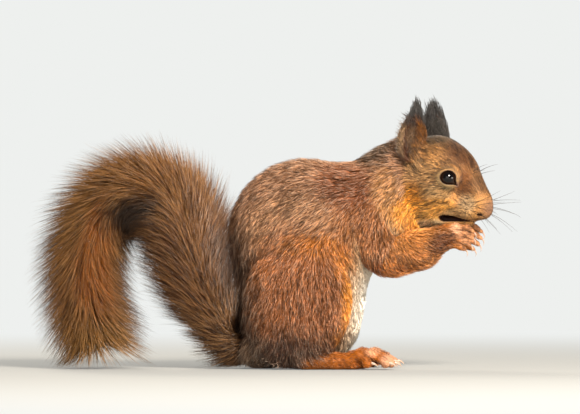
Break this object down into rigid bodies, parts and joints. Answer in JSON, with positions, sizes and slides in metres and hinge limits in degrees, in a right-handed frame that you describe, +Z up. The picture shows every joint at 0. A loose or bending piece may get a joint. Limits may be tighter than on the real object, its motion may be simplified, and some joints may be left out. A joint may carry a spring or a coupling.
{
  "type": "red squirrel model",
  "caption": "Life-size still model of a red squirrel sitting up on its haunches, hands at its mouth, ear tufts up and bushy tail arched behind it.",
  "frame": {"origin": "centre of the bounding box's footprint, on the floor that the feet, haunches and tail rest on", "axes": "+X the way the body faces, +Y its left side, +Z up"},
  "size_m": [0.2508, 0.072, 0.1487],
  "materials": {
    "back_fur": "short grizzled brown fur",
    "flank_fur": "reddish brown fur",
    "face_fur": "very short tawny fur",
    "ear_fur": "thin fur with long dark tufts",
    "tail_fur": "long brown hair with pale tips",
    "limb_fur": "short orange fur",
    "eye": "wet, nearly black",
    "claw": "smooth pale horn"
  },
  "bodies": {
    "root": {"eye_right": "eye", "ear_right": "ear_fur", "foot_right": "limb_fur", "hand_right": "limb_fur", "forearm_right": "limb_fur", "upper_arm_right": "back_fur", "hind_leg_right": "flank_fur", "toe_claw_right_1": "claw", "toe_claw_right_2": "claw", "toe_claw_right_3": "claw", "toe_claw_right_4": "claw", "toe_claw_right_5": "claw", "finger_claw_right_1": "claw", "finger_claw_right_2": "claw", "finger_claw_right_3": "claw", "finger_claw_right_4": "claw", "eye_left": "eye", "ear_left": "ear_fur", "foot_left": "limb_fur", "hand_left": "limb_fur", "forearm_left": "limb_fur", "upper_arm_left": "back_fur", "hind_leg_left": "flank_fur", "toe_claw_left_1": "claw", "toe_claw_left_2": "claw", "toe_claw_left_3": "claw", "toe_claw_left_4": "claw", "toe_claw_left_5": "claw", "finger_claw_left_1": "claw", "finger_claw_left_2": "claw", "finger_claw_left_3": "claw", "finger_claw_left_4": "claw", "head": "face_fur", "neck": "back_fur", "trunk": "back_fur", "tail_base": "tail_fur", "tail_rise": "tail_fur", "tail_arch": "tail_fur", "tail_fall": "tail_fur", "tail_tip": "tail_fur"}
  },
  "joints": []
}
